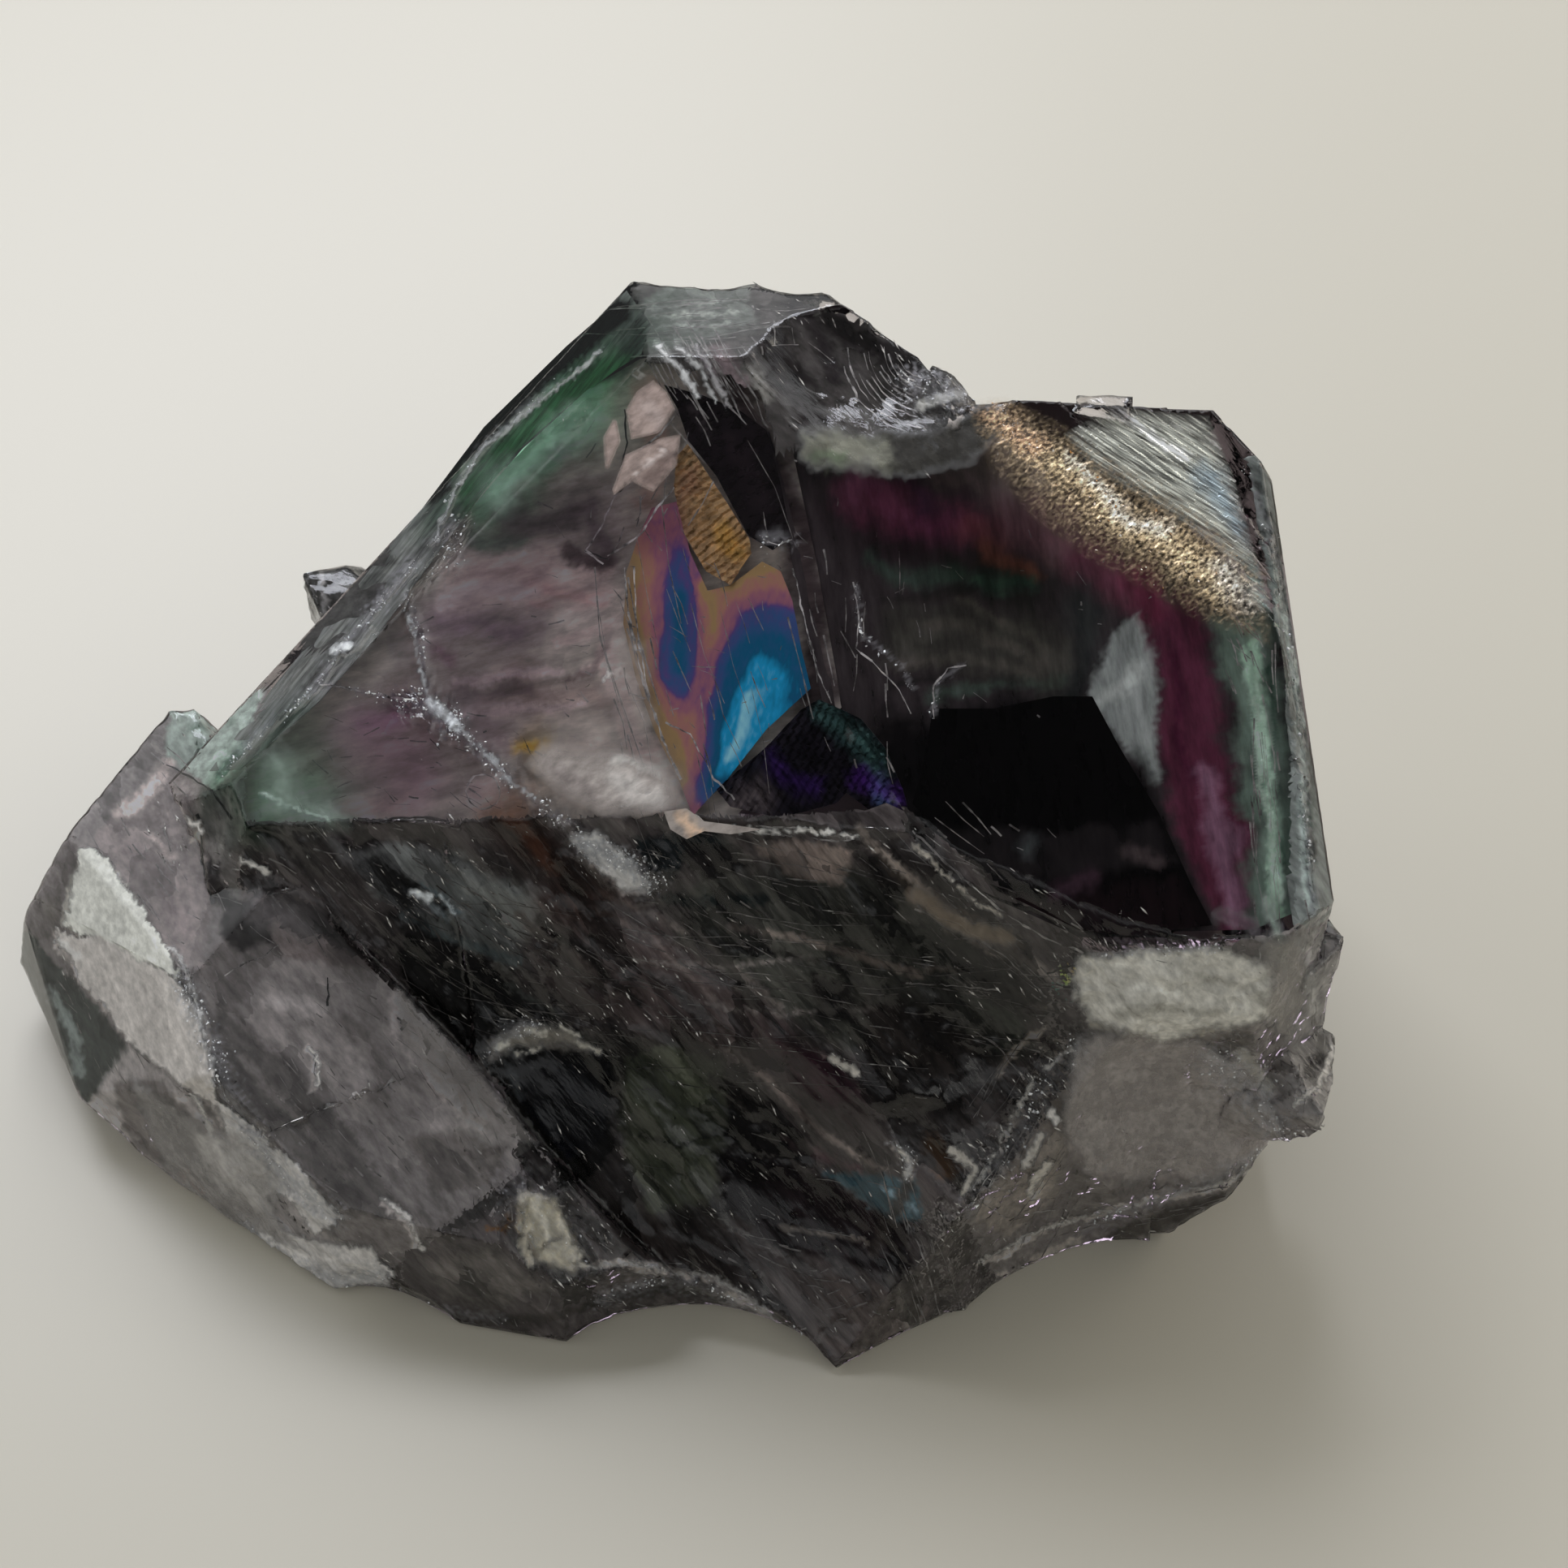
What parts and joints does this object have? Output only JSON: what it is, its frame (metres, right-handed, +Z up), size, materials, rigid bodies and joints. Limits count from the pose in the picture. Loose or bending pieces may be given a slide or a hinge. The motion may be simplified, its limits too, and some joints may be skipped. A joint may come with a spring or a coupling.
{
  "type": "fluorite specimen",
  "caption": "Hand-size group of clear smoky fluorite crystals grown together on a broken foot, resting on a flat cleaved underside.",
  "frame": {"origin": "a point on the flat cleaved underside, near the middle of the specimen", "axes": "+Z up from the underside, +Y towards the back of the specimen, away from the camera, +X to the right along the longest side"},
  "size_m": [0.0856, 0.0601, 0.0414],
  "materials": {
    "fluorite": "clear smoky grey-mauve crystal with glassy faces and rougher broken sides"
  },
  "bodies": {
    "root": {"fluorite_crystal": "fluorite"}
  },
  "joints": []
}
